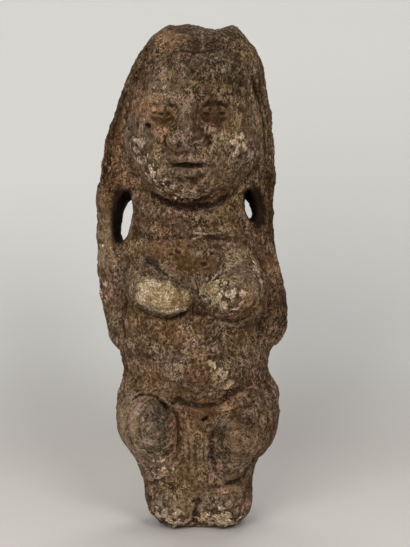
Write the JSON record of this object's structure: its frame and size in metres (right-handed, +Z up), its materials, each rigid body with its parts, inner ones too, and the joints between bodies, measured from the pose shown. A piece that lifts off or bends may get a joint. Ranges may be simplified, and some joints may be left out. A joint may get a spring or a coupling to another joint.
{
  "type": "kissi figure",
  "caption": "Standing female ancestor figure carved in one block of soapstone, with a large head under a hood of hair pierced beside the neck, full breasts and bent knees.",
  "frame": {"origin": "middle of the flat underside that the figure stands on", "axes": "+Z up along the figure's height, -Y out of its front, +X towards its own left side"},
  "size_m": [0.0997, 0.0836, 0.26],
  "materials": {
    "steatite": "matt, weathered and granular, with pale crusts"
  },
  "bodies": {
    "root": {"figure": "steatite"}
  },
  "joints": []
}
